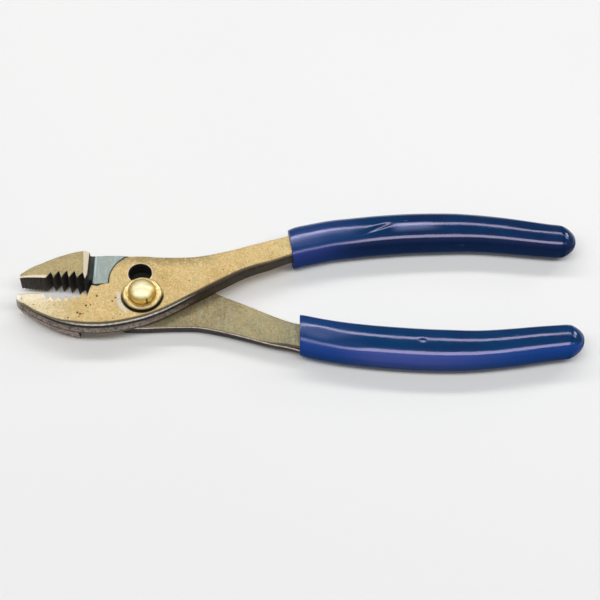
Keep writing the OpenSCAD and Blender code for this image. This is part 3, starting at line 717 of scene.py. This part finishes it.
BRASS = polished_brass()
head = add_object("pin_head", lathe("pin_head", dome_profile(), 128), "rear", BRASS, "pivot_pin")
shank = add_object("pin_shank", shank_mesh(), "rear", BRASS)
thread = add_object("pin_thread", lathe("pin_thread", thread_profile(), 96), "rear", BRASS)
add_object("washer_turned", washer_mesh(), "washer",
           worn_brass("washer_brass", (0.7, 0.56, 0.28), (0.55, 0.42, 0.18)), "pivot_washer")
add_object("nut_worn", softened("pivot_nut", voxel=0.12, rounds=3, keep=1.0), "rear",
           worn_brass("nut_bronze", (0.5, 0.4, 0.2), (0.36, 0.28, 0.13)), "pivot_nut")
for obj in (shank, head, thread):
    split = obj.modifiers.new("edges", "EDGE_SPLIT")
    split.split_angle = math.radians(35)


# ---- the dipped sleeves

FLANK = 0.62         # how square a sleeve's section is up and down: 1 makes an ellipse
SLEEVE_STEPS, NOSE_STEPS, SLEEVE_SIDES = 240, 32, 96
# The rolled lip, as distances from the mouth and shares of the section, and where it ends
LIP = [(0.0, 0.55), (0.0, 0.86), (0.02, 0.93), (0.12, 0.96), (0.35, 0.975), (0.6, 0.97), (0.9, 0.978),
       (1.5, 0.992), (2.4, 0.998), (3.4, 1.0)]
LIP_END = 4
SWELL, SWELL_LENGTH = 0.12, 14
CREASE_ARC = 0.11    # millimetres round the section for each degree

# Angles go round the section in degrees: 0 faces +Y and 90 up
Dent = namedtuple("Dent", "x angle depth reach turn")
Crease = namedtuple("Crease", "x0 angle0 x1 angle1 depth half_width")


def slope(table, i):
    """Slope at one point of a table, from its neighbours."""
    a, b = max(i - 1, 0), min(i + 1, len(table) - 1)
    return (table[b][1] - table[a][1]) / (table[b][0] - table[a][0])


def curve(table, x):
    """Smooth curve through a table of points, held level past its ends."""
    x = min(max(x, table[0][0]), table[-1][0])
    i = 0
    while i < len(table) - 2 and x >= table[i + 1][0]:
        i += 1
    run = table[i + 1][0] - table[i][0]
    s = (x - table[i][0]) / run
    return ((2 * s ** 3 - 3 * s ** 2 + 1) * table[i][1] + (s ** 3 - 2 * s ** 2 + s) * run * slope(table, i)
            + (3 * s ** 2 - 2 * s ** 3) * table[i + 1][1] + (s ** 3 - s ** 2) * run * slope(table, i + 1))


def power(v, e):
    """A power that keeps the sign."""
    return math.copysign(abs(v) ** e, v)


def turned(angle, other):
    """How far one angle is turned from another, between -180 and 180 degrees."""
    return (angle - other + 180) % 360 - 180


def sink_at(x, angle, c, s, seed, dents, creases):
    """How deep the skin lies below the plain form, which it never passes. c and s are the cosine
    and sine of the angle."""
    sink = SWELL * (noise.noise(Vector((x / SWELL_LENGTH + seed, c * 0.9, s * 0.9))) * 0.5 + 0.5)
    for dent in dents:
        q = ((x - dent.x) / dent.reach) ** 2 + (turned(angle, dent.angle) / dent.turn) ** 2
        sink += dent.depth * math.exp(-q * 1.6)
    for crease in creases:
        f = min(1.0, max(0.0, (x - crease.x0) / (crease.x1 - crease.x0)))
        round_it = turned(angle, crease.angle0 + (crease.angle1 - crease.angle0) * f) * CREASE_ARC
        off = math.hypot(round_it, x - (crease.x0 + (crease.x1 - crease.x0) * f))
        fade = math.sin(math.pi * min(max(f, 0.02), 0.98)) ** 0.5
        sink += crease.depth * fade * math.exp(-(off / crease.half_width) ** 2)
    return sink


def sleeve(name, line, mouth, end, lean, dents, creases, body, node, seed, material):
    """A sleeve with a rolled lip, a bullet end and the dents and creases of years of use.
    Its mouth may lean, and the lean fades out along the sleeve."""
    table = [(x * HANDLE_REACH, y * HANDLE_SPREAD) for x, y in line]
    length = end - mouth
    body_end = length - GRIP_NOSE
    stations = list(LIP)
    stations += [(LIP_END + (body_end - LIP_END) * i / SLEEVE_STEPS, 1.0) for i in range(SLEEVE_STEPS + 1)]
    stations += [(body_end + GRIP_NOSE * i / NOSE_STEPS, curve(NOSE_END, i / NOSE_STEPS))
                 for i in range(1, NOSE_STEPS + 1)]
    rings = []
    for along, share in stations:
        x = mouth + along
        k = curve(TAPER, along / length)
        w = (GRIP_W + (GRIP_END_W - GRIP_W) * k) * share
        t = (GRIP_T + (GRIP_END_T - GRIP_T) * k) * share
        lean_here = lean * max(0.0, 1 - along / (mouth / 2))
        centre = curve(table, x)
        ring = []
        for i in range(SLEEVE_SIDES):
            angle = 360.0 * i / SLEEVE_SIDES
            c, s = math.cos(math.radians(angle)), math.sin(math.radians(angle))
            u, v = c * w / 2, power(s, FLANK) * t / 2
            size = math.hypot(u, v) or 1.0
            sink = min(sink_at(x, angle, c, s, seed, dents, creases), size * 0.3)
            u, v = u - u / size * sink, v - v / size * sink
            ring.append((x - lean_here * u, centre + u, MID_Z + v))
        rings.append(ring)
    return add_object(name, loft(name, rings), body, material, node)


sleeve("upper_sleeve", UPPER_LINE, UPPER_MOUTH, HANDLE_REACH, lean=0.15,
       dents=[Dent(64, 115, 0.27, 20, 27), Dent(139, 60, 0.2, 9, 22)],
       creases=[Crease(76.5, 115, 89.5, 81, 0.2, 0.75)], body="front", node="upper_grip", seed=1.7,
       material=dipped_vinyl(
           "upper_vinyl", deep=(0.0, 0.03, 0.105), tone=(0.002, 0.02, 0.08), bloom=(0.006, 0.04, 0.14),
           mouth=(0.012, 0.055, 0.22), flank_mouth=(0.032, 0.055, 0.25), flank_middle=(0.032, 0.055, 0.25),
           flank_far=(0.007, 0.019, 0.074), flank_amount=0.88, flank_turn=(58, 80), mouth_sheen=0.62,
           cloud_sheen=0.5))
sleeve("lower_sleeve", LOWER_LINE, LOWER_MOUTH, LOWER_END, lean=0.0,
       dents=[Dent(63, 98, 0.25, 7, 24), Dent(73, 120, 0.2, 9, 20), Dent(98.5, 88, 0.1, 1.6, 8)],
       creases=[], body="rear", node="lower_grip", seed=5.3,
       material=dipped_vinyl(
           "lower_vinyl", deep=(0.0, 0.038, 0.13), tone=(0.002, 0.03, 0.11), bloom=(0.01, 0.05, 0.2),
           mouth=(0.005, 0.05, 0.2), flank_mouth=(0.022, 0.07, 0.33), flank_middle=(0.07, 0.1, 0.4),
           flank_far=(0.012, 0.066, 0.32), flank_amount=0.85, flank_turn=(94, 138), mouth_sheen=0.2,
           cloud_sheen=0.0))


# ---- floor, light and camera

FLOOR_REACH = 3000   # millimetres
# A little light of its own, seen only by the camera, makes the floor pale without lighting the tool
FLOOR_GLOW = 0.05

corners = [(-FLOOR_REACH, -FLOOR_REACH, 0), (FLOOR_REACH, -FLOOR_REACH, 0), (FLOOR_REACH, FLOOR_REACH, 0),
           (-FLOOR_REACH, FLOOR_REACH, 0)]
floor_mesh = mesh_of("floor", corners, [[0, 1, 2, 3]], smooth=False)
floor_graph = Graph("pale_floor")
camera_ray = floor_graph.node("LightPath").outputs["Is Camera Ray"]
floor_colour = floor_graph.mix(floor_graph.ramp(floor_graph.noise(3, 2, 0.5), 0.3, 0.7),
                               (0.84, 0.84, 0.83), (0.81, 0.81, 0.805))
floor_mesh.materials.append(floor_graph.finish(
    Base_Color=floor_colour, Roughness=0.9, Emission_Color=(1.0, 1.0, 1.0),
    Emission_Strength=floor_graph.times(camera_ray, FLOOR_GLOW)))
floor = bpy.data.objects.new("floor", floor_mesh)
scene.collection.objects.link(floor)

TARGET = Vector((55.8, 1.7, MID_Z)) * MM     # the middle of the photo
DISTANCE = 0.6
PX_PER_MM, PICTURE_PX = 2.801, 600
SENSOR_WIDTH = 36


def direction(azimuth, elevation):
    """Unit vector towards a place round the object: azimuth 0 is the camera's side."""
    a, e = math.radians(azimuth), math.radians(elevation)
    return Vector((math.sin(a) * math.cos(e), -math.cos(a) * math.cos(e), math.sin(e)))


def softbox(name, azimuth, elevation, distance, width, height, power_w):
    """A rectangular lamp that looks at the object."""
    light = bpy.data.lights.new(name, "AREA")
    light.shape = "RECTANGLE"
    light.size, light.size_y = width, height
    light.energy = power_w
    obj = bpy.data.objects.new(name, light)
    scene.collection.objects.link(obj)
    way = direction(azimuth, elevation)
    obj.location = TARGET + way * distance
    obj.rotation_euler = (-way).to_track_quat("-Z", "Y").to_euler()


softbox("strip_behind", 180, 51, 1.1, 3.0, 0.145, 9.0)
softbox("strip_front", 0, 76, 1.2, 3.0, 0.36, 15.5)
softbox("glint_right", 128, 22, 1.2, 0.24, 0.2, 1.1)

world = bpy.data.worlds.new("soft_room")
scene.world = world
world.use_nodes = True
background = world.node_tree.nodes["Background"]
background.inputs["Color"].default_value = (0.95, 0.96, 1.0, 1)
background.inputs["Strength"].default_value = 0.12

camera_data = bpy.data.cameras.new("camera")
camera_data.sensor_width = SENSOR_WIDTH
camera_data.lens = SENSOR_WIDTH * DISTANCE / (PICTURE_PX / PX_PER_MM * MM)
camera_data.clip_start = 0.01
camera = bpy.data.objects.new("camera", camera_data)
scene.collection.objects.link(camera)
camera.location = TARGET + direction(0, ELEVATION) * DISTANCE
camera.rotation_euler = (math.radians(90 - ELEVATION), 0, 0)
scene.camera = camera

scene.view_settings.view_transform = "Standard"
